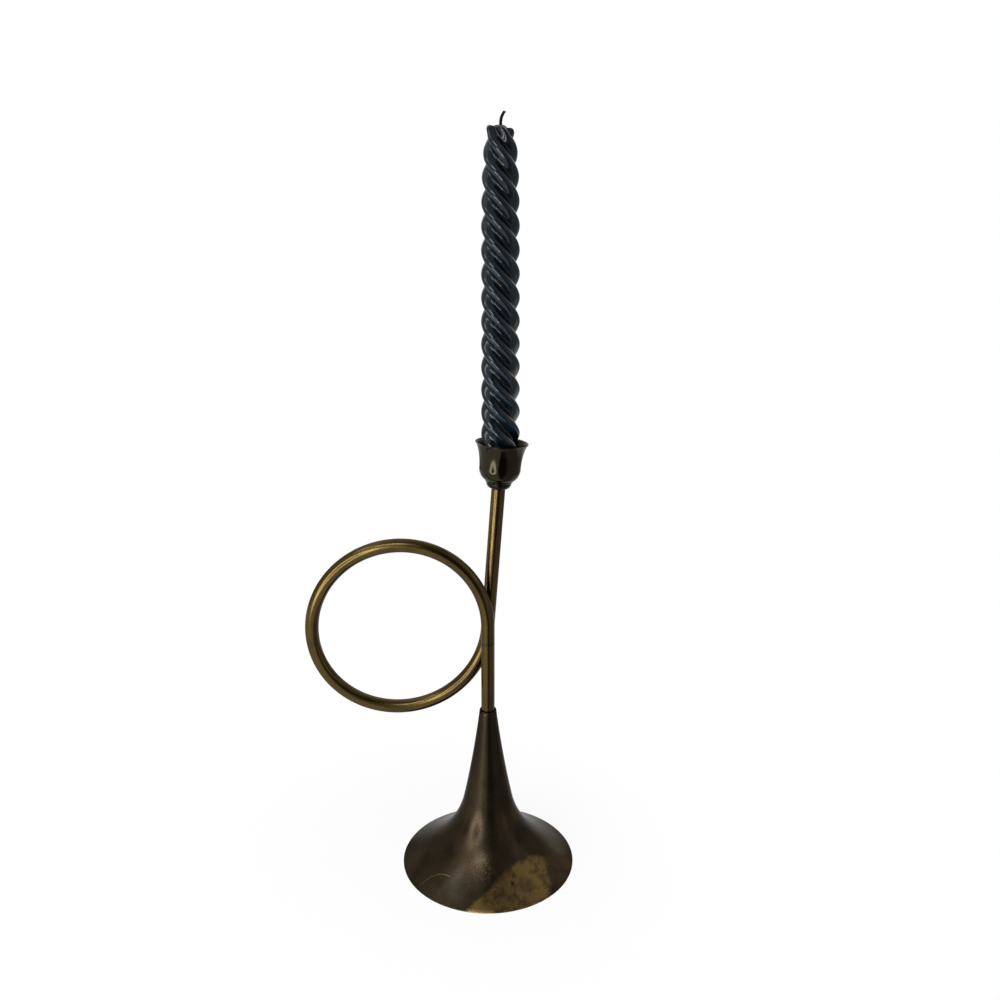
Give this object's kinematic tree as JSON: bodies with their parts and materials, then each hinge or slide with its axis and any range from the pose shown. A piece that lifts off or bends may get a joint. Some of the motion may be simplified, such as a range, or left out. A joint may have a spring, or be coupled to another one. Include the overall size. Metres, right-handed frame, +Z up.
{
  "type": "taper candle holder",
  "caption": "Candle holder shaped like a coiled horn: a bell as foot, a looped brass tube and a flared cup with a twisted taper candle.",
  "frame": {"origin": "on the floor under the middle of the object's box", "axes": "+Z up from the rim of the bell to the wick, +X towards the side that the cup leans to, with the loop on the -X side, +Y to the back"},
  "size_m": [0.1643, 0.108, 0.45],
  "materials": {
    "patinated_brass": "spun, dark brown patina, satin",
    "tube_brass": "drawn, aged, satin",
    "darkened_brass": "turned, blackened, polished smooth",
    "turned_brass": "turned, bare",
    "zinc_steel": "zinc plated, dull",
    "soft_solder": "wiped, dull grey",
    "navy_wax": "cast wax, satin with a fine mottle",
    "waxed_cotton": "braided, burnt black"
  },
  "bodies": {
    "stand": {"bell": "patinated_brass", "neck_bush": "turned_brass", "stem_plug": "turned_brass", "base_washer": "zinc_steel", "spring_washer": "zinc_steel", "base_screw": "zinc_steel", "stem_tube": "tube_brass", "joint_sleeve": "turned_brass", "horn_tube": "tube_brass", "crossing_solder": "soft_solder", "top_plug": "turned_brass", "cup_stud": "turned_brass"},
    "collar": {"cup_collar": "darkened_brass"},
    "cup": {"candle_cup": "darkened_brass"},
    "candle": {"candle": "navy_wax", "wick": "waxed_cotton"}
  },
  "joints": [
    {"name": "cup_turn", "type": "hinge", "parent": "stand", "child": "collar", "pos_m": [0.0344, 0.0089, 0.24314], "axis": [0.0724, 0, 0.9974], "range_deg": [0, 1980]},
    {"name": "cup_rise", "type": "slide", "parent": "collar", "child": "cup", "axis": [0.0724, 0, 0.9974], "range_m": [0, 0.0039]},
    {"name": "candle_lift", "type": "slide", "parent": "cup", "child": "candle", "axis": [0, 0, 1], "range_m": [0, 0.03]}
  ],
  "couplings": [
    {"joint": "cup_rise", "follows": "cup_turn", "m_per_rad": 0.00011141}
  ]
}
